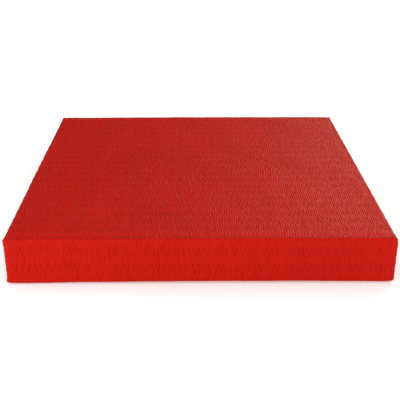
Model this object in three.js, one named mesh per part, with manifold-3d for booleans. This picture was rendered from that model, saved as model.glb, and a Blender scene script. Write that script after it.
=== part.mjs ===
// Square tatami-type mat tile: a dense foam block with a bonded vinyl cover,
// a non-slip base sheet and taped corners.
//
// Millimetres, +Z up. The origin is at the centre of the face the tile rests
// on. The front skirt faces -Y and the right skirt faces +X.

import * as THREE from 'three';
import { mergeVertices } from 'three/addons/utils/BufferGeometryUtils.js';
import Module from 'manifold-3d';

// ---- driving dimensions -------------------------------------------------

const MAT_SIDE = 320;         // outer width and depth
const MAT_HEIGHT = 42;        // floor to top face

const VINYL = 1.0;            // thickness of the cover sheet
const GLUE = 0.3;             // glue line between two bonded layers

const TOP_EDGE_R = 3.0;       // outer radius where the top turns into a skirt
const FOLD_R = 1.8;           // outer radius where a skirt turns into the hem
const CORNER_R = 3.0;         // outer radius of the four upright corners
const HEM_WIDTH = 30;         // width of the hem turned under the block

const SLIT = 0.4;             // width of the butt joint between two skirts
const SLIT_BELOW_TOP = 4.5;   // the joint stops this far under the top face

const BASE_THICK = 1.5;       // rubber base sheet
const BASE_PROUD = 0.5;       // how far it stands below the hem
const BASE_TO_HEM = 0.8;      // gap between its edge and the hem's raw edge
const BASE_CORNER_R = 4.0;

const TAPE_THICK = 0.6;       // corner tape
const TAPE_LEG = 15;          // width of the tape on each side of the corner
const TAPE_BOTTOM = 4.0;
const TAPE_TOP = 39.0;
const TAPE_EASE = 0.6;        // room left in the foam behind the tape

const ARC_STEPS = 6;          // segments in a quarter circle

// ---- levels that follow from them ----------------------------------------

const HALF = MAT_SIDE / 2;
const HEM_BOTTOM = BASE_PROUD;
const HEM_TOP = HEM_BOTTOM + VINYL;
const CORE_BOTTOM = HEM_TOP + GLUE;
const CORE_TOP = MAT_HEIGHT - VINYL - GLUE;
const CORE_HALF = HALF - VINYL - GLUE;
const WINDOW_HALF = HALF - HEM_WIDTH;
const BASE_HALF = WINDOW_HALF - BASE_TO_HEM;

// ---- geometry helpers ------------------------------------------------------

// Closed outline of a square with rounded corners, anticlockwise from above.
function roundedSquare(half, radius, steps = ARC_STEPS) {
  const points = [];
  const c = half - radius;
  const centres = [[c, c], [-c, c], [-c, -c], [c, -c]];
  centres.forEach(([cx, cy], k) => {
    for (let i = 0; i <= steps; i++) {
      const a = (k + i / steps) * Math.PI / 2;
      points.push([cx + radius * Math.cos(a), cy + radius * Math.sin(a)]);
    }
  });
  return points;
}

// Flat cap of a rounded square: a large inner square in four triangles round
// the centre, and a border strip from it to the outline.
function cap(position, index, first, [inset, z], half, cornerR, steps, facesUp) {
  const q = half - inset - cornerR - 4;
  const inner = position.length / 3;
  [[q, q], [-q, q], [-q, -q], [q, -q]].forEach(([x, y]) => position.push(x, y, z));
  position.push(0, 0, z);
  const per = steps + 1;
  const face = (a, b, c) => (facesUp ? index.push(a, b, c) : index.push(a, c, b));
  for (let k = 0; k < 4; k++) {
    const next = (k + 1) % 4;
    for (let i = 0; i < steps; i++) {
      face(inner + k, first + k * per + i, first + k * per + i + 1);
    }
    face(inner + k, first + k * per + steps, first + next * per);
    face(inner + k, first + next * per, inner + next);
    face(inner + 4, inner + k, inner + next);
  }
}

// Solid with a rounded-square plan whose top and bottom edges are rounded too:
// rings of the same point count, stacked from the bottom up and capped.
function pillow(half, z0, z1, cornerR, bottomR, topR, steps = ARC_STEPS) {
  const rings = [];
  for (let i = 0; i <= steps; i++) {
    const a = (i / steps) * Math.PI / 2;
    rings.push([bottomR * (1 - Math.sin(a)), z0 + bottomR * (1 - Math.cos(a))]);
  }
  for (let i = 0; i <= steps; i++) {
    const a = (i / steps) * Math.PI / 2;
    rings.push([topR * (1 - Math.cos(a)), z1 - topR * (1 - Math.sin(a))]);
  }
  const position = [];
  const index = [];
  let n = 0;
  rings.forEach(([inset, z]) => {
    const outline = roundedSquare(half - inset, Math.max(cornerR - inset, 0.2), steps);
    n = outline.length;
    outline.forEach(([x, y]) => position.push(x, y, z));
  });
  for (let r = 0; r + 1 < rings.length; r++) {
    for (let i = 0; i < n; i++) {
      const j = (i + 1) % n;
      const a = r * n + i, b = r * n + j, c = (r + 1) * n + j, d = (r + 1) * n + i;
      index.push(a, b, c, a, c, d);
    }
  }
  cap(position, index, 0, rings[0], half, cornerR, steps, false);
  cap(position, index, (rings.length - 1) * n, rings[rings.length - 1], half, cornerR, steps, true);
  const geometry = new THREE.BufferGeometry();
  geometry.setAttribute('position', new THREE.Float32BufferAttribute(position, 3));
  geometry.setIndex(index);
  return geometry;
}

// Axis-aligned box between two corners.
function boxBetween(x0, y0, z0, x1, y1, z1) {
  const geometry = new THREE.BoxGeometry(x1 - x0, y1 - y0, z1 - z0);
  geometry.translate((x0 + x1) / 2, (y0 + y1) / 2, (z0 + z1) / 2);
  return geometry;
}

// ---- booleans ---------------------------------------------------------------

const wasm = await Module();
wasm.setup();

function toSolid(geometry) {
  const bare = geometry.clone();
  bare.deleteAttribute('normal');
  bare.deleteAttribute('uv');
  const merged = mergeVertices(bare, 1e-4);
  return new wasm.Manifold(new wasm.Mesh({
    numProp: 3,
    vertProperties: new Float32Array(merged.attributes.position.array),
    triVerts: new Uint32Array(merged.index.array),
  }));
}

function toGeometry(solid) {
  const mesh = solid.getMesh();
  const geometry = new THREE.BufferGeometry();
  geometry.setAttribute('position', new THREE.BufferAttribute(new Float32Array(mesh.vertProperties), 3));
  geometry.setIndex(new THREE.BufferAttribute(new Uint32Array(mesh.triVerts), 1));
  geometry.computeVertexNormals();
  return geometry;
}

// ---- vinyl cover --------------------------------------------------------------

// One sheet: top, four skirts and the hem. The hem leaves a square window, and
// a narrow diagonal joint separates neighbouring skirts and mitres the hem.
function makeCover() {
  let cover = toSolid(pillow(HALF, HEM_BOTTOM, MAT_HEIGHT, CORNER_R, FOLD_R, TOP_EDGE_R));
  cover = cover.subtract(toSolid(pillow(HALF - VINYL, HEM_TOP, MAT_HEIGHT - VINYL,
    CORNER_R - VINYL, FOLD_R - VINYL, TOP_EDGE_R - VINYL)));
  cover = cover.subtract(toSolid(boxBetween(-WINDOW_HALF, -WINDOW_HALF, -5, WINDOW_HALF, WINDOW_HALF, 5)));

  const reach = HEM_WIDTH * Math.SQRT2 + 8;
  const height = MAT_HEIGHT - SLIT_BELOW_TOP + 5;
  for (let k = 0; k < 4; k++) {
    const joint = new THREE.BoxGeometry(reach, SLIT, height);
    joint.translate(HALF * Math.SQRT2 - reach / 2 + 4, 0, height / 2 - 5);
    joint.rotateZ(Math.PI / 4 + k * Math.PI / 2);
    cover = cover.subtract(toSolid(joint));
  }
  return toGeometry(cover);
}

// ---- foam core -------------------------------------------------------------------

// The block fills the cover to the glue line. It is eased back at the four
// upright corners, where the tapes lie between it and the cover.
function makeCore() {
  const inset = VINYL + GLUE;
  let core = toSolid(pillow(CORE_HALF, CORE_BOTTOM, CORE_TOP,
    CORNER_R - inset, 0.4, TOP_EDGE_R - inset));
  const depth = TAPE_THICK + TAPE_EASE;
  const leg = TAPE_LEG + 1;
  const z0 = TAPE_BOTTOM - 0.5, z1 = TAPE_TOP + 0.5;
  const c = CORE_HALF;
  for (const sx of [-1, 1]) {
    for (const sy of [-1, 1]) {
      const along = (x0, y0, x1, y1) => boxBetween(
        Math.min(sx * x0, sx * x1), Math.min(sy * y0, sy * y1), z0,
        Math.max(sx * x0, sx * x1), Math.max(sy * y0, sy * y1), z1);
      core = core.subtract(toSolid(along(c - depth, c - leg, c + 2, c + 2)));
      core = core.subtract(toSolid(along(c - leg, c - depth, c + 2, c + 2)));
    }
  }
  return toGeometry(core);
}

// ---- corner tapes ------------------------------------------------------------------

// An angle of thin vinyl whose bend follows the inside of the cover's corner.
function makeTape() {
  const outer = HALF - VINYL - GLUE;
  const bend = CORNER_R - VINYL - GLUE;
  const inner = outer - TAPE_THICK;
  const innerBend = Math.max(bend - TAPE_THICK, 0.4);
  const start = outer - TAPE_LEG;
  const shape = new THREE.Shape();
  shape.moveTo(start, outer);
  shape.lineTo(start, inner);
  shape.lineTo(inner - innerBend, inner);
  shape.absarc(inner - innerBend, inner - innerBend, innerBend, Math.PI / 2, 0, true);
  shape.lineTo(inner, start);
  shape.lineTo(outer, start);
  shape.lineTo(outer, outer - bend);
  shape.absarc(outer - bend, outer - bend, bend, 0, Math.PI / 2, false);
  shape.closePath();
  const geometry = new THREE.ExtrudeGeometry(shape, {
    depth: TAPE_TOP - TAPE_BOTTOM, bevelEnabled: false, curveSegments: ARC_STEPS,
  });
  geometry.translate(0, 0, TAPE_BOTTOM);
  return geometry;
}

// ---- base sheet ----------------------------------------------------------------------

function makeBase() {
  return pillow(BASE_HALF, 0, BASE_THICK, BASE_CORNER_R, 0.3, 0.2, 3);
}

// ---- assembly --------------------------------------------------------------------------

const redVinyl = new THREE.MeshStandardMaterial({ color: 0xc4271a, roughness: 0.5, metalness: 0 });
const foam = new THREE.MeshStandardMaterial({ color: 0x6f7a86, roughness: 0.95, metalness: 0 });
const rubber = new THREE.MeshStandardMaterial({ color: 0x1d1e20, roughness: 0.85, metalness: 0 });

const group = new THREE.Group();

function add(name, geometry, material, parent = group) {
  const mesh = new THREE.Mesh(geometry, material);
  mesh.name = name;
  parent.add(mesh);
  return mesh;
}

add('vinyl_cover', makeCover(), redVinyl.clone());
add('foam_core', makeCore(), foam.clone());
add('base_sheet', makeBase(), rubber.clone());

// The same angle of tape at each upright corner, turned about the tile's axis.
[
  ['corner_tape_rear_right', 0],
  ['corner_tape_rear_left', 1],
  ['corner_tape_front_left', 2],
  ['corner_tape_front_right', 3],
].forEach(([name, quarter]) => {
  const corner = new THREE.Group();
  corner.rotation.z = quarter * Math.PI / 2;
  group.add(corner);
  const tape = redVinyl.clone();
  tape.roughness = 0.6;
  add(name, makeTape(), tape, corner);
});

export default group;
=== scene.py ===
import math

import bpy
import numpy as np
from mathutils import Matrix, Vector


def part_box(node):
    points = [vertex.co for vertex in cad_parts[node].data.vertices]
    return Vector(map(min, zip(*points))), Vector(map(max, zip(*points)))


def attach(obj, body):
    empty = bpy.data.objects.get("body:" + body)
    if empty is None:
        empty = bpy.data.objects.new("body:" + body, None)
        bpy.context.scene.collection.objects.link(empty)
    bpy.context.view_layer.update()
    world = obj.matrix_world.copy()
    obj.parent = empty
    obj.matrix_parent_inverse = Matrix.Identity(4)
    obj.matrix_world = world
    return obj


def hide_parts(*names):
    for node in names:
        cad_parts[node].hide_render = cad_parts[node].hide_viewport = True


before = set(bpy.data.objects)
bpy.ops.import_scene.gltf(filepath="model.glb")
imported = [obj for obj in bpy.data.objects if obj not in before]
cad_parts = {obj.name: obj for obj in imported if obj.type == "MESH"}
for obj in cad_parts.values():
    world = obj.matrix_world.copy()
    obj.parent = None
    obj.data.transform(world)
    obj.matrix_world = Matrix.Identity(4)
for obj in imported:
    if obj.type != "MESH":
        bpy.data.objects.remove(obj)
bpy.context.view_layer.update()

MM = 0.001

# ---------------------------------------------------------------------------
# Sizes in millimetres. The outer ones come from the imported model.
# ---------------------------------------------------------------------------

c_lo, c_hi = (np.array(v) * 1000 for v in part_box("vinyl_cover"))
b_lo, b_hi = (np.array(v) * 1000 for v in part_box("base_sheet"))
k_lo, k_hi = (np.array(v) * 1000 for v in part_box("foam_core"))

HALF = float(round(c_hi[0], 4))      # half side of the cover
TOP = float(round(c_hi[2], 4))       # top face
HEM_Z = float(round(c_lo[2], 4))     # underside of the hem
SKIN = 1.0                           # cover sheet
EDGE_R = 3.0                         # outer radius, top turning into a skirt
FOLD_R = 1.8                         # outer radius, skirt turning into the hem
CORNER_R = 3.0                       # outer radius of the upright corners
HEM_W = 30.0                         # width of the hem

STRAW = 1.905                        # pitch of the embossed straws
MESH = 15.0                          # pitch of the woven bands
MESH_0 = -156.7                      # sheet position of one row of crossings
TWIN = 2.9                           # crossings lie this far before or after it, straw by straw

JOINT_GAP = 0.15                     # half the gap of an upright joint
T_LO, T_HI = 0.24, 0.76              # shoulders of a straw, across it
ZONE = [STRAW * t for t in (T_LO, T_HI, 1, 1 + T_LO, 1 + T_HI, 2, 2 + T_LO)]   # down a skirt, above the joint
S_APEX = ZONE[-1]
S_VERT = TOP - (HEM_Z + FOLD_R)                  # end of the upright part
S_FOLD = S_VERT + FOLD_R * math.pi / 2           # end of the bottom fold
S_END = S_FOLD + (HEM_W - FOLD_R)                # raw edge of the hem

rng = np.random.default_rng(7)


def wave_noise(seed, n, lo, hi):
    """A smooth, repeatable field of about unit size: a few plane waves with wavelengths from lo to hi."""
    r = np.random.default_rng(seed)
    ang = r.uniform(0, 2 * np.pi, n)
    lam = np.exp(r.uniform(np.log(lo), np.log(hi), n))
    ph = r.uniform(0, 2 * np.pi, n)
    kx, ky = np.cos(ang) * 2 * np.pi / lam, np.sin(ang) * 2 * np.pi / lam

    def f(u, v):
        out = np.zeros(np.broadcast(u, v).shape)
        for i in range(n):
            out = out + np.sin(kx[i] * u + ky[i] * v + ph[i])
        return out / math.sqrt(n / 2)

    return f


lean = wave_noise(11, 9, 38, 140)        # sideways drift of the straws
drift = wave_noise(12, 7, 60, 220)       # drift of the rows of crossings
swell = wave_noise(13, 8, 50, 160)       # slow unevenness of the glued sheet
ripple = wave_noise(14, 9, 12, 36)       # fine unevenness along the edges


def smooth(x, a, b):
    t = np.clip((x - a) / (b - a), 0, 1)
    return t * t * (3 - 2 * t)


# ---------------------------------------------------------------------------
# The embossed straws, over the flat sheet (U across them, V along them)
# ---------------------------------------------------------------------------

K = 60                                            # number of the first straw on the top
N_ALL = 300
straw_hi = rng.uniform(-0.06, 0.02, N_ALL)        # height of each straw
straw_cut = rng.uniform(0.8, 1.15, N_ALL)         # depth of the groove on its left
straw_ph = rng.uniform(0, 2 * np.pi, N_ALL)
straw_tint = rng.uniform(-1, 1, N_ALL)


def dice(j, k, s):
    """A repeatable number from 0 to 1 for straw j and row k."""
    return np.modf(np.abs(np.sin(j * 12.9898 + k * 78.233 + s * 37.719) * 43758.5453))[0]


def crossing(j, V, U):
    """0 to 1: how far straw j is pulled down at V, at the crossings that are its own."""
    side = np.where(j % 2 == 0, TWIN, -TWIN)
    base = V - MESH_0 - side - 0.6 * drift(U, V)
    k = np.round(base / MESH)
    d = base - k * MESH - 2.6 * (dice(j, k, 1) - 0.5)
    return (0.2 + 0.8 * dice(j, k, 2)) * np.exp(-(np.abs(d) / (0.95 + 0.9 * dice(j, k, 3))) ** 2.4)


def weave(j, t, U, V):
    """(height of the face, sideways push of the place), in mm. t is the place across straw j, 0 at the groove on its left."""
    here, before, after = crossing(j, V, U), crossing(j - 1, V, U), crossing(j + 1, V, U)
    band = -0.07 * (1 + np.cos(2 * np.pi * (V - MESH_0 - 0.6 * drift(U, V)) / MESH))
    body = straw_hi[j] + 0.04 * np.sin(2 * np.pi * V / 27.0 + straw_ph[j]) - 0.42 * here
    groove = -0.38 * straw_cut[j] * (1 + 0.2 * np.sin(2 * np.pi * V / 19.0 + 2.3 * straw_ph[j])) - 0.10 * np.maximum(here, before)
    height = np.where(t == 0, groove + 0.3 * np.minimum(body, 0), body) + band
    left = 0.26 * (here - before)
    right = 0.26 * (after - here)
    push = left * (1 - t) + right * t
    wander = 0.13 * np.sin(2 * np.pi * V / 31.0 + 1.7 * straw_ph[j])
    return height, push + wander


def bristle(shape, axis, seed):
    """Small unevenness of the straws, drawn out along them (they run along the given axis)."""
    r = np.random.default_rng(seed).uniform(-1, 1, shape)
    for _ in range(2):
        r = (np.roll(r, 1, axis) + 2 * r + np.roll(r, -1, axis)) / 4
    return 0.19 * r


# Columns across the straws on the top: the groove and two shoulders of each.
N_TOP = int(round(2 * HALF / STRAW))
w = np.random.default_rng(3).uniform(0.84, 1.16, N_TOP)
w[0] = w[-1] = 1.0
w = w / w.sum() * 2 * HALF
edges = -HALF + np.concatenate([[0], np.cumsum(w)])
UC, JU, TU = [], [], []
for i in range(N_TOP):
    for t in (0.0, T_LO, T_HI):
        UC.append(edges[i] + w[i] * t)
        JU.append(K + i)
        TU.append(t)
UC, JU, TU = np.array(UC + [HALF]), np.array(JU + [K + N_TOP]), np.array(TU + [0.0])


def rows_between(lo, hi):
    """Places along the straws, close together round each row of crossings."""
    out, k = [], math.floor((lo - MESH_0) / MESH) - 1
    while MESH_0 + (k - 1) * MESH < hi:
        c = MESH_0 + k * MESH
        out += [c + d for d in (-6.9, -5.0, -3.9, -2.9, -1.9, -0.7, 0.7, 1.9, 2.9, 3.9, 5.0, 6.9)]
        k += 1
    return [v for v in out if lo < v < hi]


near = [0.6, 1.3, 2.0, 2.6, 3.2, 3.8, 4.5, 5.4, 6.5, 7.9]
VR = np.array([-HALF] + [-HALF + e for e in near] + rows_between(-HALF + 8.6, HALF - 8.6) + [HALF - e for e in near[::-1]] + [HALF])

# ---------------------------------------------------------------------------
# The sheet bent round the block
# ---------------------------------------------------------------------------


def profile(s):
    """Inset from the outer face, height and tilt (0 upright, pi/2 facing down) at the distance s down a skirt."""
    s = np.asarray(s, float)
    psi = np.clip((s - S_VERT) / FOLD_R, 0, math.pi / 2)
    inset = FOLD_R * (1 - np.cos(psi)) + np.maximum(s - S_FOLD, 0)
    z = np.where(s <= S_VERT, TOP - s, HEM_Z + FOLD_R - FOLD_R * np.sin(psi))
    return inset, z, psi


def top_face(u, v):
    """Point and outward normal on the rounded top, for face coordinates u and v."""
    c = HALF - EDGE_R
    dx = np.sign(u) * np.maximum(np.abs(u) - c, 0)
    dy = np.sign(v) * np.maximum(np.abs(v) - c, 0)
    vec = np.stack([dx, dy, np.full_like(dx, EDGE_R)], -1)
    n = vec / np.linalg.norm(vec, axis=-1, keepdims=True)
    base = np.stack([np.clip(u, -c, c), np.clip(v, -c, c), np.full_like(dx, TOP - EDGE_R)], -1)
    return base + n * EDGE_R, n


def skirt_face(a, s):
    """Point and outward normal on the skirt that faces -Y, and on its hem, for the place a along it and s down it."""
    inset, z, psi = profile(s)
    H = HALF - inset
    r = np.maximum(CORNER_R - inset, 0.02)
    a = np.clip(a, -H, H)
    c = H - r
    dx = np.sign(a) * np.maximum(np.abs(a) - c, 0)
    dz = np.maximum(z - (TOP - EDGE_R), 0)
    vec = np.stack([dx, -r, dz], -1)
    n = vec / np.linalg.norm(vec, axis=-1, keepdims=True)
    base = np.stack([np.clip(a, -c, c), -c, np.minimum(z, TOP - EDGE_R)], -1)
    pt = base + n * r[..., None]
    tip = np.stack([n[..., 0] * np.cos(psi), n[..., 1] * np.cos(psi), n[..., 2] - np.sin(psi)], -1)
    return pt, tip / np.linalg.norm(tip, axis=-1, keepdims=True)


def turn(P, q):
    """Turns points or directions by q quarter turns about Z."""
    c, s = [(1, 0), (0, 1), (-1, 0), (0, -1)][q % 4]
    out = P.copy()
    out[..., 0] = c * P[..., 0] - s * P[..., 1]
    out[..., 1] = s * P[..., 0] + c * P[..., 1]
    return out


# Corner q lies between skirt q and skirt q + 1: front right, rear right, rear left, front left.
# Push of the sheet at each top corner (mm), the height of its centre, and its reach.
EAR = [(0.3, 37.5, 4.0), (0.5, 39.0, 4.5), (0.4, 38.5, 4.5), (1.35, 41.8, 4.6)]
TUCK = [0.9, 0.7, 0.7, 0.8]          # rise of the bottom fold right at each corner
LIP = [0.12, 0.3, 0.25, 0.7]         # flare of the bottom fold at each corner
SAG = [(0.75, 30), (1.2, 30), (1.2, 28), (0.95, 56)]   # how far the rim hangs down at each corner, and its reach
ENDS = [(0.6, 36.0), (0.2, 36.0), (0.2, 36.0), (0.42, 38.0)]   # swelling of each upright corner, and how high it goes
# How far the right and the left top edge stand in (+) or out (-), from front to rear.
RIGHT_IN = ([-160, -156, -150, -140, -125, -112, -100, -80, -60, -45, -20, 0, 30, 60, 100, 130, 160],
            [0.5, 0.7, 1.1, 1.85, 1.65, 1.1, 0.9, 0.65, 0.5, 0.35, 0.1, 0.05, -0.15, -0.35, -0.3, -0.4, -0.45])
LEFT_IN = ([-160, -140, -110, -60, -30, 0, 45, 60, 75, 130, 150, 160],
           [0.0, -0.3, -0.2, -0.1, -0.35, -0.4, -0.4, -0.1, 0.1, 0.05, 0.0, -0.4])
ROUGH = [0.03, 0.0, 0.06, 0.0]      # waviness of each top edge: front, right, rear, left


def warp(P):
    """The rim of the underside stands a little higher between the corners, and hangs down at them, where two layers
    of hem overlap."""
    x, y, z = P[..., 0], P[..., 1], P[..., 2]
    low = np.clip((10.0 - z) / 10.0, 0, 1) ** 1.4
    rim = np.clip((np.maximum(np.abs(x), np.abs(y)) - 126) / 32, 0, 1)
    lift = 0.95 + 0.10 * swell(x, y)
    for (sx, sy), (drop, reach) in zip(((1, -1), (1, 1), (-1, 1), (-1, -1)), SAG):
        lift = lift - drop * np.exp(-(np.hypot(x - sx * HALF, y - sy * HALF) / reach) ** 2)
    lift = lift + 0.5 * np.exp(-((x + 12) / 62) ** 2) * smooth(y, 0, -140)
    lift = np.maximum(lift, -0.46)
    out = P.copy()
    upper = smooth(z, TOP - 3.0, TOP - 1.3)
    out[..., 0] = out[..., 0] - np.interp(y, *RIGHT_IN) * upper * smooth(x, 115, 157) + np.interp(y, *LEFT_IN) * upper * smooth(x, -115, -157)
    for (sx, sy), (amount, height) in zip(((1, -1), (1, 1), (-1, 1), (-1, -1)), ENDS):
        flat = np.hypot(x - sx * HALF, y - sy * HALF)
        out[..., 0] = out[..., 0] + sx * amount * np.exp(-(flat / 9.0) ** 2) * smooth(z, height + 2.5, height - 2.5)
    for (sx, sy), (amount, height, reach), tuck in zip(((1, -1), (1, 1), (-1, 1), (-1, -1)), EAR, TUCK):
        flat = np.hypot(x - sx * HALF, y - sy * HALF)
        push = amount * np.exp(-(flat ** 2 + (z - height) ** 2) / reach ** 2)
        out[..., 0] = out[..., 0] + push * sx * 0.8
        out[..., 1] = out[..., 1] + push * sy * 0.6
        lift = lift + tuck * np.exp(-(flat / 5.0) ** 2)
    thick = 0.45 * smooth(x, -60, 60) * smooth(y, 40, 158) * np.clip(z / TOP, 0, 1)    # the block is a touch thicker at one corner
    thick = thick + 0.3 * np.exp(-((x + 30) / 55) ** 2) * smooth(y, 60, 158) * np.clip(z / TOP, 0, 1)
    out[..., 2] = z + lift * low * rim + thick
    return out


def top_edge(d, along, q):
    """Bead and press line beside the top fold of skirt q. d is the distance from the fold, positive onto the top."""
    bead = 0.14 * np.exp(-((d - 0.2) / 1.6) ** 2)
    line = -0.50 * np.exp(-((d - 4.3) / np.where(d > 4.3, 3.9, 1.5)) ** 2) * (0.92 + 0.14 * ripple(along, 0 * along + 50 * q))
    if q == 0:       # the front edge is pressed down over a wider strip
        bead = 0.18 * np.exp(-((d - 0.2) / 1.6) ** 2)
        line = -0.25 * np.where(d > 3.2, smooth(d, 9.5, 3.2), smooth(d, -5.0, 3.2)) * (0.95 + 0.10 * ripple(along, 0 * along))
    wavy = ROUGH[q] * ripple(along, 0 * along + 17 * q) * np.exp(-((d + 0.3) / 1.8) ** 2)
    return (bead + line) * (1.0 if q % 2 == 0 else 0.5) + wavy


verts, attrs, faces, mats = [], [], [], []
count = 0


def add(P, tint=0.0, cav=0.0, fold_light_paint=0.0):
    """Appends a grid of points and returns their indices."""
    global count
    shape = P.shape[:-1]
    n = int(np.prod(shape)) if shape else 1
    verts.append(np.asarray(P, float).reshape(-1, 3))
    attrs.append(np.stack([np.broadcast_to(v, shape) for v in (tint, cav, fold_light_paint)], -1).reshape(-1, 3))
    out = np.arange(count, count + n).reshape(shape)
    count += n
    return out


def add_quads(idx, mat, down=True):
    """Quads of a grid of indices. Repeated indices make triangles, or nothing."""
    a, b, c, d = idx[:-1, :-1], idx[1:, :-1], idx[1:, 1:], idx[:-1, 1:]
    q = np.stack([a, b, c, d] if down else [a, d, c, b], -1).reshape(-1, 4)
    same = np.stack([q[:, 0] == q[:, 1], q[:, 1] == q[:, 2], q[:, 2] == q[:, 3], q[:, 3] == q[:, 0]], -1)
    n_same = same.sum(1)
    whole = q[n_same == 0].tolist()
    faces.extend(whole)
    mats.extend([mat] * len(whole))
    for row in q[n_same == 1].tolist():
        tri = [v for i, v in enumerate(row) if v != row[i - 1]]
        if len(set(tri)) == 3:
            faces.append(tri)
            mats.append(mat)


# --- the top -----------------------------------------------------------------
U, V = np.meshgrid(UC, VR)
J, T = np.broadcast_to(JU, U.shape), np.broadcast_to(TU, U.shape)
au, av = HALF - np.abs(U), HALF - np.abs(V)
corner = smooth(np.hypot(np.maximum(9 - au, 0), np.maximum(9 - av, 0)), 12.6, 8.6)   # 0 at the corners, 1 away from them
h, push = weave(J, T, U, V)
h = h + bristle(U.shape, 0, 21) * smooth(np.minimum(au, av), 0.4, 2.5)
h = h * (0.2 + 0.8 * corner) * np.where(au < 1e-6, 0.35, 1)
place = np.where(au < 1e-6, 0, (push + 0.8 * lean(U, V)) * smooth(au, 0, 4))
P, N = top_face(np.clip(U + place, -HALF + 0.02, HALF - 0.02) * (au > 1e-6) + U * (au <= 1e-6), V)
e = np.where(V < 0, top_edge(av, U, 0), top_edge(av, U, 2)) + np.where(U > 0, top_edge(au, V, 1), top_edge(au, V, 3))
P = P + N * (h + e * corner + (0.05 * swell(U, V) + 0.02 * ripple(U, V)) * corner)[..., None]
# painted light along the top edges: painted shade along the side and rear edges and in the press line behind the front
# edge, painted highlights on the front fold and just behind the press line
painted_edge_light = np.exp(-(au / 1.5) ** 2) + np.where(
    V > 0,
    np.exp(-(av / 1.5) ** 2),
    0.38 * np.exp(-((av - 3.3) / 1.0) ** 2) - 0.4 * np.exp(-((av - 7.5) / 2.2) ** 2) - 0.3 * np.exp(-(av / 1.3) ** 2),
)
top_i = add(P, straw_tint[J], h, np.minimum(painted_edge_light, 1))
add_quads(top_i, 0, down=False)

# --- the corners above the joints, shared by two skirts -----------------------


def bulge(a, s, q):
    """Swelling of skirt q near its two ends, at the bottom fold."""
    right, left = HALF - a, HALF + a
    out = 0
    for dist, k in ((right, q), (left, (q - 1) % 4)):
        out = out + LIP[k] * np.exp(-((s - S_VERT + 0.4) / 2.0) ** 2) * np.exp(-(dist / 7.0) ** 2)
    return out


corner_i = []
for q in range(4):
    s = np.array(ZONE)
    a = np.full_like(s, HALF)
    P, N = skirt_face(a, s)
    P = P + N * bulge(a, s, q)[..., None]
    corner_i.append(add(turn(P, q)))

# --- skirts and hems -----------------------------------------------------------


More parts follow.
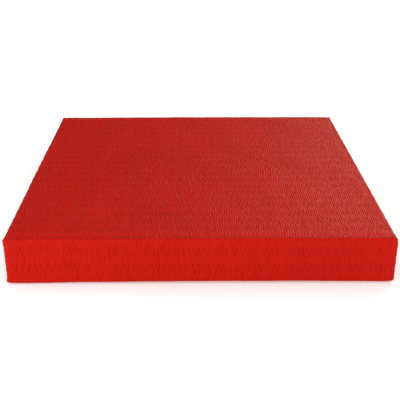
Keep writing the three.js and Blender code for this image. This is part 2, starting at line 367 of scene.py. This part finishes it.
def skirt(q):
    """The outer face of one skirt and its hem. Returns the places of its rows down the skirt and the grid of its
    indices.
    """
    if q % 2 == 0:
        a_line = UC if q == 0 else -UC[::-1]
        ju = JU if q == 0 else JU[::-1]
        tu = TU if q == 0 else TU[::-1]
        s_line = sorted(
            set(ZONE) | {S_VERT, S_VERT + 0.7, S_VERT + 1.4, S_VERT + 2.1, S_FOLD, S_END}
            | {round(-HALF - v if q == 0 else v - HALF, 4) for v in (rows_between(-HALF - S_END + 0.3, -HALF - S_APEX - 0.5) if q == 0 else rows_between(HALF + S_APEX + 0.5, HALF + S_END - 0.3))}
        )
        kept = []
        for s in s_line:     # no two rows closer than a third of a millimetre
            if kept and s - kept[-1] < 0.33:
                if s in (S_VERT, S_FOLD, S_END) or s in ZONE:
                    kept[-1] = s
                continue
            kept.append(s)
        s_line = np.array(kept)
        A, S = np.meshgrid(a_line, s_line)
        J, T = np.broadcast_to(ju, A.shape), np.broadcast_to(tu, A.shape)
        U = A if q == 0 else -A
        V = -HALF - S if q == 0 else HALF + S
    else:
        a_line = VR if q == 1 else -VR[::-1]
        rows = []
        m = 0
        while STRAW * m < S_END:
            for f, t in ((T_LO, T_LO), (T_HI, T_HI), (1.0, 0.0)):
                s = STRAW * (m + f)
                if q == 1:
                    rows.append((s, K + N_TOP + m + (1 if f == 1.0 else 0), t))
                else:
                    rows.append((s, K - 1 - m, 1.0 - t if t else 0.0))
            m += 1
        rows = [r for r in rows if r[0] < S_END - 0.3 and min(abs(r[0] - S_VERT), abs(r[0] - S_FOLD)) > 0.33]
        for s in (S_VERT, S_FOLD, S_END):
            m = int(s // STRAW)
            rows.append((s, K + N_TOP + m if q == 1 else K - 1 - m, 0.5))
        rows.sort()
        s_line = np.array([r[0] for r in rows])
        for k, z in enumerate(ZONE):
            assert abs(s_line[k] - z) < 1e-6
        A, S = np.meshgrid(a_line, s_line)
        J = np.broadcast_to(np.array([r[1] for r in rows])[:, None], A.shape)
        T = np.broadcast_to(np.array([r[2] for r in rows])[:, None], A.shape)
        U = HALF + S if q == 1 else -HALF - S
        V = A if q == 1 else -A
    zone = S <= S_APEX + 1e-6
    inset, _, _ = profile(S)
    limit = HALF - inset - np.where(zone, 0, JOINT_GAP)
    room = np.maximum(limit - np.abs(A), 0)
    ends = smooth(room, 0.0, 2.4)
    h, push = weave(J, T, U, V)
    h = h + bristle(U.shape, 0 if q % 2 == 0 else 1, 30 + q) * smooth(np.minimum(S, HALF - np.abs(A)), 0.4, 2.5)
    press = np.where(S > S_FOLD, 0.7, 0.86)                # the skirts are stretched a little flatter than the top, and the hem more
    h = h * press * (0.1 + 0.9 * ends)
    move = push + 0.8 * lean(U, V)
    if q % 2 == 0:
        place_a = A + (move if q == 0 else -move) * smooth(room, 0.2, 4) * smooth(HALF - np.abs(A), 0.2, 4)
        place_s = S
    else:
        place_a = A
        place_s = S + (move if q == 1 else -move) * ends * smooth(S, 0.3, 5) * smooth(S_END - S, 0, 4) * smooth(np.abs(S - S_VERT - 1.4), 1.2, 3)
    idx_a = np.abs(A) >= limit - 0.2
    place_a = np.where(idx_a, np.sign(A) * limit, np.clip(place_a, -limit + 0.12, limit - 0.12))
    P, N = skirt_face(place_a, place_s)
    d = (
        h
        + top_edge(-S, U if q % 2 == 0 else V, q) * smooth(HALF - np.abs(A), 0.5, 8)
        + (0.05 * swell(U, V) + 0.02 * ripple(U, V)) * ends
        + bulge(np.clip(A, -HALF, HALF), S, q)
        - np.where(zone, 0, 0.4) * np.exp(-(room / 0.3) ** 2)
    )
    P = P + N * d[..., None]
    # painted light below the top fold: painted shade on the side and rear skirts, a painted highlight on the front
    # skirt
    own = add(turn(P, q), straw_tint[J], h, np.exp(-(S / 1.5) ** 2) * (1.0 if q else -0.3))
    n_rows, n_cols = own.shape
    for r in range(n_rows):
        out = np.nonzero(idx_a[r])[0]
        lefts, rights = out[a_line[out] < 0], out[a_line[out] > 0]
        own[r, : lefts.max()] = own[r, lefts.max()]
        own[r, rights.min() + 1 :] = own[r, rights.min()]
        if s_line[r] <= S_APEX + 1e-6:
            own[r, 0] = corner_i[(q - 1) % 4][r]
            own[r, -1] = corner_i[q][r]
    first = [top_i[0, :], top_i[:, -1], top_i[-1, ::-1], top_i[::-1, 0]][q]
    add_quads(np.vstack([first[None, :], own]), 0)
    return s_line, own


# --- the inner face: the same sheet, 1 mm in, in larger faces --------------------
C = HALF - EDGE_R
half_g = [C, 151.0, 145.0, 138.0, 130.0, 121.0, 112.0, 102.0, 91.0, 80.0, 69.0, 58.0, 47.0, 36.0, 24.0, 12.0]
g = np.array([-HALF] + [-v for v in half_g] + [0.0] + half_g[::-1] + [HALF])
Ui, Vi = np.meshgrid(g, g)
P, N = top_face(Ui, Vi)
in_top = add(P - N * SKIN)
add_quads(in_top, 1, down=True)
IN_ROWS = np.array([EDGE_R, S_APEX, S_VERT, S_VERT + FOLD_R * math.pi / 4, S_FOLD, S_END])
in_corner = []
for q in range(4):
    s = IN_ROWS[:2]
    P, N = skirt_face(np.full_like(s, HALF), s)
    in_corner.append(add(turn(P - N * SKIN, q)))


def inner_skirt(q):
    A, S = np.meshgrid(g, IN_ROWS)
    inset, _, _ = profile(S)
    limit = HALF - inset - np.where(S <= S_APEX + 1e-6, 0, JOINT_GAP)
    past = np.abs(A) >= limit - 0.01
    P, N = skirt_face(np.where(past, np.sign(A) * limit, A), S)
    own = add(turn(P - N * SKIN, q))
    for r in range(len(IN_ROWS)):
        out = np.nonzero(past[r])[0]
        lefts, rights = out[g[out] < 0], out[g[out] > 0]
        own[r, : lefts.max()] = own[r, lefts.max()]
        own[r, rights.min() + 1 :] = own[r, rights.min()]
        if r < 2:
            own[r, 0] = in_corner[(q - 1) % 4][r]
            own[r, -1] = in_corner[q][r]
    first = [in_top[0, :], in_top[:, -1], in_top[-1, ::-1], in_top[::-1, 0]][q]
    add_quads(np.vstack([first[None, :], own]), 1, down=False)
    return own


def unique_run(row):
    out = [int(row[0])]
    for v in row[1:]:
        if int(v) != out[-1]:
            out.append(int(v))
    return out


for q in range(4):
    s_line, outer = skirt(q)
    inner = inner_skirt(q)

    def row_of(s):
        return int(np.argmin(np.abs(s_line - s)))

    cuts = [S_APEX, S_VERT, S_FOLD, S_END]
    inner_rows = [1, 2, 4, 5]
    for k in range(3):
        r0, r1 = row_of(cuts[k]), row_of(cuts[k + 1])
        i0, i1 = inner_rows[k], inner_rows[k + 1]
        o_r = [int(outer[r, -1]) for r in range(r0, r1 + 1)]
        o_l = [int(outer[r, 0]) for r in range(r0, r1 + 1)]
        n_r = [int(inner[r, -1]) for r in range(i0, i1 + 1)]
        n_l = [int(inner[r, 0]) for r in range(i0, i1 + 1)]
        faces.append(o_r + n_r[::-1])
        faces.append(n_l + o_l[::-1])
        mats.extend([1, 1])
    faces.append(unique_run(outer[-1])[::-1] + unique_run(inner[-1]))
    mats.append(1)


def make_mesh(name, points, polys, slots, attributes=None):
    me = bpy.data.meshes.new(name)
    me.from_pydata([tuple(p) for p in (points * MM).tolist()], [], polys)
    me.polygons.foreach_set("material_index", np.array(slots, np.int32))
    me.polygons.foreach_set("use_smooth", np.ones(len(polys), bool))
    for key, values in (attributes or {}).items():
        layer = me.attributes.new(key, "FLOAT", "POINT")
        layer.data.foreach_set("value", np.asarray(values, np.float32))
    me.validate()
    me.update()
    ob = bpy.data.objects.new(name, me)
    bpy.context.scene.collection.objects.link(ob)
    return ob


def drop_loose(points, polys, *extra):
    """Keeps only the points that some face uses."""
    used = np.zeros(len(points), bool)
    used[np.array(sorted({v for p in polys for v in p}))] = True
    new = np.cumsum(used) - 1
    return points[used], [[int(new[v]) for v in p] for p in polys], [x[used] for x in extra]


pts = warp(np.concatenate(verts))
att = np.concatenate(attrs)
pts, faces, (att,) = drop_loose(pts, faces, att)
cover = make_mesh("cover_embossed_vinyl", pts, faces, mats, {"straw_tint": att[:, 0], "relief_mm": att[:, 1], "painted_fold_light": att[:, 2]})
cover.data.set_sharp_from_angle(angle=math.radians(78))

# ---------------------------------------------------------------------------
# Base sheet: rubber with a waffle face underneath
# ---------------------------------------------------------------------------
B = float(b_hi[0])
B_TOP = float(b_hi[2])
CELL = 4.0
n_cell = int((2 * B - 6.0) // CELL)
start = -n_cell * CELL / 2
line, deep = [-B, -B + 0.35], [0, 0]
for i in range(n_cell):
    for f, d in ((0.0, 0), (1.1, 0), (1.4, 1), (3.7, 1)):
        line.append(start + i * CELL + f)
        deep.append(d)
line += [start + n_cell * CELL, B - 0.35, B]
deep += [0, 0, 0]
line, deep = np.array(line), np.array(deep)
X, Y = np.meshgrid(line, line)
DX, DY = np.meshgrid(deep, deep)
cell_x = np.floor((X - start) / CELL).astype(int)
cell_y = np.floor((Y - start) / CELL).astype(int)
depth = 0.62 + 0.10 * np.sin(12.9898 * cell_x + 78.233 * cell_y)
Z = np.where((DX > 0) & (DY > 0), depth, 0.0)
rim_lift = np.where((np.abs(X) > B - 0.01) | (np.abs(Y) > B - 0.01), 0.3, 0)
jitter = 0.05 * np.sin(3.1 * cell_x + 5.7 * cell_y)
under = np.stack([X + jitter * (np.abs(X) < B - 1), Y - jitter * (np.abs(Y) < B - 1), Z + rim_lift], -1)
m = len(line)
under_i = np.arange(m * m).reshape(m, m)
q_under = np.stack([under_i[:-1, :-1], under_i[1:, :-1], under_i[1:, 1:], under_i[:-1, 1:]], -1).reshape(-1, 4).tolist()
ring = [int(v) for v in under_i[0, :]] + [int(v) for v in under_i[1:, -1]] + [int(v) for v in under_i[-1, -2::-1]] + [int(v) for v in under_i[-2:0:-1, 0]]
ring_pts = under.reshape(-1, 3)[ring].copy()
ring_pts[:, 2] = B_TOP
upper = np.arange(m * m, m * m + len(ring))
q_side = [[ring[i], ring[(i + 1) % len(ring)], int(upper[(i + 1) % len(ring)]), int(upper[i])] for i in range(len(ring))]
base = make_mesh(
    "base_waffle_rubber",
    np.concatenate([under.reshape(-1, 3), ring_pts]),
    q_under + q_side + [[int(v) for v in upper]],
    [0] * (len(q_under) + len(q_side) + 1),
)
base.data.set_sharp_from_angle(angle=math.radians(40))

# ---------------------------------------------------------------------------
# Foam core: sawn block of rebonded foam, nipped in behind the corner tapes
# ---------------------------------------------------------------------------
KH, K0, K1 = float(k_hi[0]) - 0.05, float(k_lo[2]), float(k_hi[2]) - 0.05


def core_points(u, v, w):
    """Point of the block for cube coordinates in -1..1."""
    P = np.stack([u * KH, v * KH, K0 + (w + 1) / 2 * (K1 - K0)], -1)
    r = 1.6
    c = np.array([KH - r, KH - r, (K1 - K0) / 2 - r])
    mid = np.array([0, 0, (K0 + K1) / 2])
    Q = P - mid
    inner = np.clip(Q, -c, c)
    off = Q - inner
    ln = np.linalg.norm(off, axis=-1, keepdims=True)
    Q = inner + off / np.maximum(ln, 1e-9) * np.minimum(ln, r)
    x, y, z = Q[..., 0], Q[..., 1], Q[..., 2] + mid[2]
    nip = smooth(np.minimum(np.abs(x), np.abs(y)), KH - 17, KH - 15.8) * smooth(z, 2.6, 3.6) * smooth(z, K1 - 0.5, K1 - 1.3)
    pull = 1.25 * nip
    cells = 0.10 * np.sin(1.9 * x + 1.3 * y) * np.sin(1.7 * y - 2.1 * z) + 0.06 * np.sin(3.3 * x - 2.7 * z)
    side_x = smooth(np.abs(x), KH - 0.3, KH - 0.05)
    side_y = smooth(np.abs(y), KH - 0.3, KH - 0.05)
    x = x - np.sign(x) * side_x * (pull + 0.12 + cells)
    y = y - np.sign(y) * side_y * (pull + 0.12 + cells)
    lid = smooth(z, K1 - 0.3, K1 - 0.05)
    z = z - lid * (0.12 + cells)
    floor_ = smooth(z, K0 + 0.3, K0 + 0.05)
    z = z + floor_ * (0.05 + np.abs(cells) * 0.5)
    return np.stack([x, y, z], -1)


def block_grid(n, nz):
    """Points and quads of a closed box surface, n by n by nz cells, with lines drawn in towards its edges."""
    def axis(k, span):
        t = np.linspace(-1, 1, k - 3)
        step = 0.8 / span
        return np.concatenate([[-1, -1 + step, -1 + 2 * step], t[1:-1], [1 - 2 * step, 1 - step, 1]])
    gx, gz = axis(n, KH), axis(nz, (K1 - K0) / 2)
    index, P, quads = {}, [], []

    def vid(i, j, k):
        key = (i, j, k)
        if key not in index:
            index[key] = len(P)
            P.append((gx[i], gx[j], gz[k]))
        return index[key]
    nx, nk = len(gx) - 1, len(gz) - 1
    for i in range(nx):
        for j in range(nx):
            quads.append([vid(i, j, nk), vid(i + 1, j, nk), vid(i + 1, j + 1, nk), vid(i, j + 1, nk)])
            quads.append([vid(i, j, 0), vid(i, j + 1, 0), vid(i + 1, j + 1, 0), vid(i + 1, j, 0)])
    for i in range(nx):
        for k in range(nk):
            quads.append([vid(i, 0, k), vid(i + 1, 0, k), vid(i + 1, 0, k + 1), vid(i, 0, k + 1)])
            quads.append([vid(i, nx, k), vid(i, nx, k + 1), vid(i + 1, nx, k + 1), vid(i + 1, nx, k)])
            quads.append([vid(0, i, k), vid(0, i, k + 1), vid(0, i + 1, k + 1), vid(0, i + 1, k)])
            quads.append([vid(nx, i, k), vid(nx, i + 1, k), vid(nx, i + 1, k + 1), vid(nx, i, k + 1)])
    return np.array(P), quads


cube, core_quads = block_grid(96, 16)
core = make_mesh("foam_block", warp(core_points(cube[:, 0], cube[:, 1], cube[:, 2])), core_quads, [0] * len(core_quads))
core.data.set_sharp_from_angle(angle=math.radians(60))

# ---------------------------------------------------------------------------
# Materials
# ---------------------------------------------------------------------------


def new_material(name):
    m = bpy.data.materials.new(name)
    m.use_nodes = True
    nt = m.node_tree
    for n in list(nt.nodes):
        nt.nodes.remove(n)
    out = nt.nodes.new("ShaderNodeOutputMaterial")
    b = nt.nodes.new("ShaderNodeBsdfPrincipled")
    nt.links.new(b.outputs[0], out.inputs[0])
    return m, nt, b


def node(nt, kind, **props):
    n = nt.nodes.new(kind)
    for k, v in props.items():
        setattr(n, k, v)
    return n


def noise(nt, coord, scale, detail=3.0, rough=0.5):
    n = node(nt, "ShaderNodeTexNoise")
    n.inputs["Scale"].default_value = scale
    n.inputs["Detail"].default_value = detail
    n.inputs["Roughness"].default_value = rough
    nt.links.new(coord, n.inputs["Vector"])
    return n.outputs[0]


def ramp(nt, fac, lo, hi, a=0.0, b=1.0):
    n = node(nt, "ShaderNodeMapRange")
    n.inputs["From Min"].default_value = a
    n.inputs["From Max"].default_value = b
    n.inputs["To Min"].default_value = lo
    n.inputs["To Max"].default_value = hi
    nt.links.new(fac, n.inputs["Value"])
    return n.outputs[0]


def math_node(nt, op, a, b):
    n = node(nt, "ShaderNodeMath", operation=op)
    for i, v in enumerate((a, b)):
        if isinstance(v, (int, float)):
            n.inputs[i].default_value = v
        else:
            nt.links.new(v, n.inputs[i])
    return n.outputs[0]


def mix(nt, fac, a, b, blend="MIX"):
    n = node(nt, "ShaderNodeMix", data_type="RGBA", blend_type=blend)
    for key, v in (("Factor", fac), ("A", a), ("B", b)):
        sock = [s for s in n.inputs if s.name == key and (s.type == "RGBA" or key == "Factor" and s.type == "VALUE")][0]
        if isinstance(v, (int, float)):
            sock.default_value = v
        elif isinstance(v, tuple):
            sock.default_value = v
        else:
            nt.links.new(v, sock)
    return [s for s in n.outputs if s.type == "RGBA"][0]


def bump(nt, height, strength, distance, normal=None):
    n = node(nt, "ShaderNodeBump")
    n.inputs["Strength"].default_value = strength
    n.inputs["Distance"].default_value = distance
    nt.links.new(height, n.inputs["Height"])
    if normal is not None:
        nt.links.new(normal, n.inputs["Normal"])
    return n.outputs[0]


# Red PVC, with the straws as geometry and a fine grain and gloss break-up over them.
RED = (0.484, 0.0060, 0.0010, 1.0)
red, nt, b = new_material("red_pvc_sheet")
tc = node(nt, "ShaderNodeTexCoord").outputs["Object"]
tint = node(nt, "ShaderNodeAttribute", attribute_name="straw_tint").outputs["Fac"]
rel = node(nt, "ShaderNodeAttribute", attribute_name="relief_mm").outputs["Fac"]
slow = noise(nt, tc, 9.0, 2.0)
fine = noise(nt, tc, 420.0, 3.0, 0.6)
grain = noise(nt, tc, 2600.0, 2.0, 0.6)
warmth = mix(nt, ramp(nt, slow, 0.0, 1.0, 0.3, 0.7), (RED[0] * 0.97, RED[1] * 0.9, RED[2] * 0.85, 1), (RED[0] * 1.03, RED[1] * 1.1, RED[2] * 1.15, 1))
straws = mix(nt, 1.0, warmth, ramp(nt, tint, 0.98, 1.02, -1, 1), "MULTIPLY")
speck = mix(nt, 1.0, straws, ramp(nt, fine, 0.93, 1.07, 0.25, 0.75), "MULTIPLY")
# painted shade: the red is darker down in the grooves between the straws and in the crossings
painted_groove_shade = ramp(nt, rel, 0.72, 1.0, -0.75, -0.12)
colour = mix(nt, 1.0, speck, painted_groove_shade, "MULTIPLY")
# painted highlight and painted shade along the folds, read from the fold attribute
fold_light_paint = node(nt, "ShaderNodeAttribute", attribute_name="painted_fold_light").outputs["Fac"]
colour = mix(nt, 1.0, colour, ramp(nt, fold_light_paint, 1.104, 0.74, -0.4, 1.0), "MULTIPLY")   # painted light: lighter where the folds catch the light (painted highlight), darker along the press line and edges (painted shade)
nt.links.new(colour, b.inputs["Base Color"])
rough = math_node(nt, "ADD", ramp(nt, fine, 0.42, 0.56, 0.3, 0.7), ramp(nt, slow, -0.03, 0.03, 0.3, 0.7))
rough = math_node(nt, "ADD", rough, ramp(nt, rel, 0.14, 0.0, -0.5, -0.1))
nt.links.new(rough, b.inputs["Roughness"])
b.inputs["IOR"].default_value = 1.45
b.inputs["Specular IOR Level"].default_value = 0.088
b.inputs["Sheen Weight"].default_value = 0.0
nt.links.new(bump(nt, grain, 0.25, 0.00006, bump(nt, fine, 0.35, 0.00012)), b.inputs["Normal"])

# The sheet's back and cut edges: polyester backing cloth in the red coating.
back, nt, b = new_material("backing_cloth")
tc = node(nt, "ShaderNodeTexCoord").outputs["Object"]
wv = node(nt, "ShaderNodeTexWave", wave_type="BANDS", bands_direction="X")
wv.inputs["Scale"].default_value = 420.0
wv.inputs["Distortion"].default_value = 1.2
nt.links.new(tc, wv.inputs["Vector"])
wh = node(nt, "ShaderNodeTexWave", wave_type="BANDS", bands_direction="Y")
wh.inputs["Scale"].default_value = 420.0
wh.inputs["Distortion"].default_value = 1.2
nt.links.new(tc, wh.inputs["Vector"])
cloth = math_node(nt, "MULTIPLY", wv.outputs[1] if False else wv.outputs["Fac"], wh.outputs["Fac"])
nt.links.new(mix(nt, ramp(nt, cloth, 0.0, 1.0), (0.36, 0.055, 0.045, 1), (0.62, 0.30, 0.27, 1)), b.inputs["Base Color"])
b.inputs["Roughness"].default_value = 0.85
nt.links.new(bump(nt, cloth, 0.4, 0.0001), b.inputs["Normal"])

# Dark rubber of the base sheet.
rub, nt, b = new_material("waffle_rubber")
tc = node(nt, "ShaderNodeTexCoord").outputs["Object"]
dust = noise(nt, tc, 38.0, 4.0, 0.6)
pores = noise(nt, tc, 1500.0, 2.0, 0.6)
nt.links.new(mix(nt, ramp(nt, dust, 0.0, 1.0, 0.35, 0.72), (0.012, 0.0125, 0.014, 1), (0.040, 0.040, 0.041, 1)), b.inputs["Base Color"])
nt.links.new(ramp(nt, dust, 0.62, 0.86, 0.3, 0.7), b.inputs["Roughness"])
b.inputs["Specular IOR Level"].default_value = 0.35
nt.links.new(bump(nt, pores, 0.35, 0.00012), b.inputs["Normal"])

# Rebonded foam: pressed chips of several colours, with open pores.
fo, nt, b = new_material("rebonded_foam")
tc = node(nt, "ShaderNodeTexCoord").outputs["Object"]
chips = node(nt, "ShaderNodeTexVoronoi", feature="F1")
chips.inputs["Scale"].default_value = 95.0
chips.inputs["Randomness"].default_value = 1.0
bent = node(nt, "ShaderNodeVectorMath", operation="ADD")
wob = node(nt, "ShaderNodeTexNoise")
wob.inputs["Scale"].default_value = 60.0
nt.links.new(tc, wob.inputs["Vector"])
scaled = node(nt, "ShaderNodeVectorMath", operation="SCALE")
scaled.inputs["Scale"].default_value = 0.012
nt.links.new(wob.outputs["Color"], scaled.inputs[0])
nt.links.new(tc, bent.inputs[0])
nt.links.new(scaled.outputs[0], bent.inputs[1])
nt.links.new(bent.outputs[0], chips.inputs["Vector"])
sep = node(nt, "ShaderNodeSeparateColor")
nt.links.new(chips.outputs["Color"], sep.inputs[0])
cr = node(nt, "ShaderNodeValToRGB")
cr.color_ramp.interpolation = "CONSTANT"
stops = [(0.0, (0.30, 0.33, 0.36, 1)), (0.22, (0.55, 0.55, 0.52, 1)), (0.42, (0.16, 0.27, 0.42, 1)), (0.58, (0.45, 0.42, 0.30, 1)), (0.70, (0.18, 0.36, 0.28, 1)), (0.82, (0.50, 0.28, 0.30, 1)), (0.91, (0.66, 0.62, 0.36, 1))]
els = cr.color_ramp.elements
els[0].position, els[0].color = stops[0]
els[1].position, els[1].color = stops[1]
for p, c in stops[2:]:
    e_ = els.new(p)
    e_.color = c
nt.links.new(sep.outputs[0], cr.inputs["Fac"])
pore = noise(nt, tc, 900.0, 3.0, 0.7)
nt.links.new(mix(nt, 1.0, cr.outputs["Color"], ramp(nt, pore, 0.7, 1.15, 0.3, 0.7), "MULTIPLY"), b.inputs["Base Color"])
b.inputs["Roughness"].default_value = 0.95
b.inputs["Specular IOR Level"].default_value = 0.15
nt.links.new(bump(nt, pore, 0.6, 0.0004), b.inputs["Normal"])

# Plain vinyl of the corner tapes.
tp, nt, b = new_material("tape_pvc")
tc = node(nt, "ShaderNodeTexCoord").outputs["Object"]
calender = noise(nt, tc, 700.0, 2.0)
soil = noise(nt, tc, 60.0, 3.0)
nt.links.new(mix(nt, ramp(nt, soil, 0.0, 1.0, 0.3, 0.7), (0.30, 0.010, 0.006, 1), (0.37, 0.014, 0.008, 1)), b.inputs["Base Color"])
nt.links.new(ramp(nt, calender, 0.48, 0.66, 0.3, 0.7), b.inputs["Roughness"])
nt.links.new(bump(nt, calender, 0.3, 0.0001), b.inputs["Normal"])

cover.data.materials.append(red)
cover.data.materials.append(back)
base.data.materials.append(rub)
core.data.materials.append(fo)
for corner_name in ("front_left", "front_right", "rear_left", "rear_right"):
    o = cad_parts["corner_tape_" + corner_name]
    if not o.material_slots:
        o.data.materials.append(tp)
    for s_ in o.material_slots:
        s_.material = tp

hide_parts("vinyl_cover")
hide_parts("base_sheet")
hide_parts("foam_core")
for o, slot_name in ((cover, "cover_vinyl"), (base, "base_rubber"), (core, "foam")):
    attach(o, "root")

# ---------------------------------------------------------------------------
# Floor, camera and light
# ---------------------------------------------------------------------------
bpy.ops.mesh.primitive_circle_add(vertices=96, radius=14.0, fill_type="NGON", location=(0, 0, -0.00005))
floor = bpy.context.object
floor.name = "studio_floor"
fl, nt, b = new_material("pale_floor")
tc = node(nt, "ShaderNodeTexCoord").outputs["Object"]
fn = noise(nt, tc, 3.0, 2.0)
nt.links.new(mix(nt, ramp(nt, fn, 0.0, 1.0, 0.3, 0.7), (0.93, 0.93, 0.93, 1), (0.95, 0.95, 0.95, 1)), b.inputs["Base Color"])
b.inputs["Roughness"].default_value = 1.0
b.inputs["Specular IOR Level"].default_value = 0.0
b.inputs["Emission Color"].default_value = (1, 1, 1, 1)
b.inputs["Emission Strength"].default_value = 0.19
floor.data.materials.append(fl)

scene = bpy.context.scene
cam_data = bpy.data.cameras.new("camera")
cam = bpy.data.objects.new("camera", cam_data)
scene.collection.objects.link(cam)
scene.camera = cam
cam_data.sensor_width = 36.0
cam_data.sensor_fit = "HORIZONTAL"
cam_data.lens = 737.99 / 400 * 36.0
cam_data.clip_start = 0.01
cam_data.clip_end = 100
yaw, pitch, roll = (math.radians(x) for x in (1.0947, 24.2138, 0.2923))
fwd = Vector((math.sin(yaw) * math.cos(pitch), math.cos(yaw) * math.cos(pitch), -math.sin(pitch)))
right = Vector((math.cos(yaw), -math.sin(yaw), 0))
up = right.cross(fwd)
r2 = right * math.cos(roll) + up * math.sin(roll)
u2 = up * math.cos(roll) - right * math.sin(roll)
place_ = Vector((-0.01160, -0.68865, 0.31399))
rot = Matrix((r2, u2, -fwd)).transposed()
cam.matrix_world = Matrix.Translation(place_) @ rot.to_4x4()


def area_light(name, at, look, size, size_y, energy, colour=(1, 1, 1)):
    d = bpy.data.lights.new(name, "AREA")
    d.shape = "RECTANGLE"
    d.size, d.size_y = size, size_y
    d.energy = energy
    d.color = colour
    o = bpy.data.objects.new(name, d)
    scene.collection.objects.link(o)
    o.location = at
    o.rotation_euler = (Vector(look) - Vector(at)).to_track_quat("-Z", "Y").to_euler()
    return o


area_light("key", (-0.60, -0.93, 0.54), (-0.03, -0.05, 0.02), 0.5, 0.34, 5.3, (1.0, 0.97, 0.92))
area_light("rear_right", (0.85, 1.15, 0.58), (0.05, 0, 0.04), 0.8, 0.5, 10.2, (1.0, 0.86, 0.72))

world = bpy.data.worlds.new("studio")
scene.world = world
world.use_nodes = True
wn = world.node_tree
for n in list(wn.nodes):
    wn.nodes.remove(n)
w_out = wn.nodes.new("ShaderNodeOutputWorld")
seen = wn.nodes.new("ShaderNodeBackground")
seen.inputs["Color"].default_value = (1, 1, 1, 1)
seen.inputs["Strength"].default_value = 1.0
lit = wn.nodes.new("ShaderNodeBackground")
lit.inputs["Color"].default_value = (1, 1, 1, 1)
lit.inputs["Strength"].default_value = 0.86
gloss = wn.nodes.new("ShaderNodeBackground")
gloss.inputs["Color"].default_value = (1, 0.80, 0.52, 1)
gloss.inputs["Strength"].default_value = 0.05
lp = wn.nodes.new("ShaderNodeLightPath")
m1 = wn.nodes.new("ShaderNodeMixShader")
m2 = wn.nodes.new("ShaderNodeMixShader")
wn.links.new(lp.outputs["Is Glossy Ray"], m1.inputs[0])
wn.links.new(lit.outputs[0], m1.inputs[1])
wn.links.new(gloss.outputs[0], m1.inputs[2])
wn.links.new(lp.outputs["Is Camera Ray"], m2.inputs[0])
wn.links.new(m1.outputs[0], m2.inputs[1])
wn.links.new(seen.outputs[0], m2.inputs[2])
wn.links.new(m2.outputs[0], w_out.inputs[0])

scene.view_settings.view_transform = "Standard"
scene.view_settings.look = "None"
scene.view_settings.exposure = 0.0
scene.view_settings.gamma = 1.0
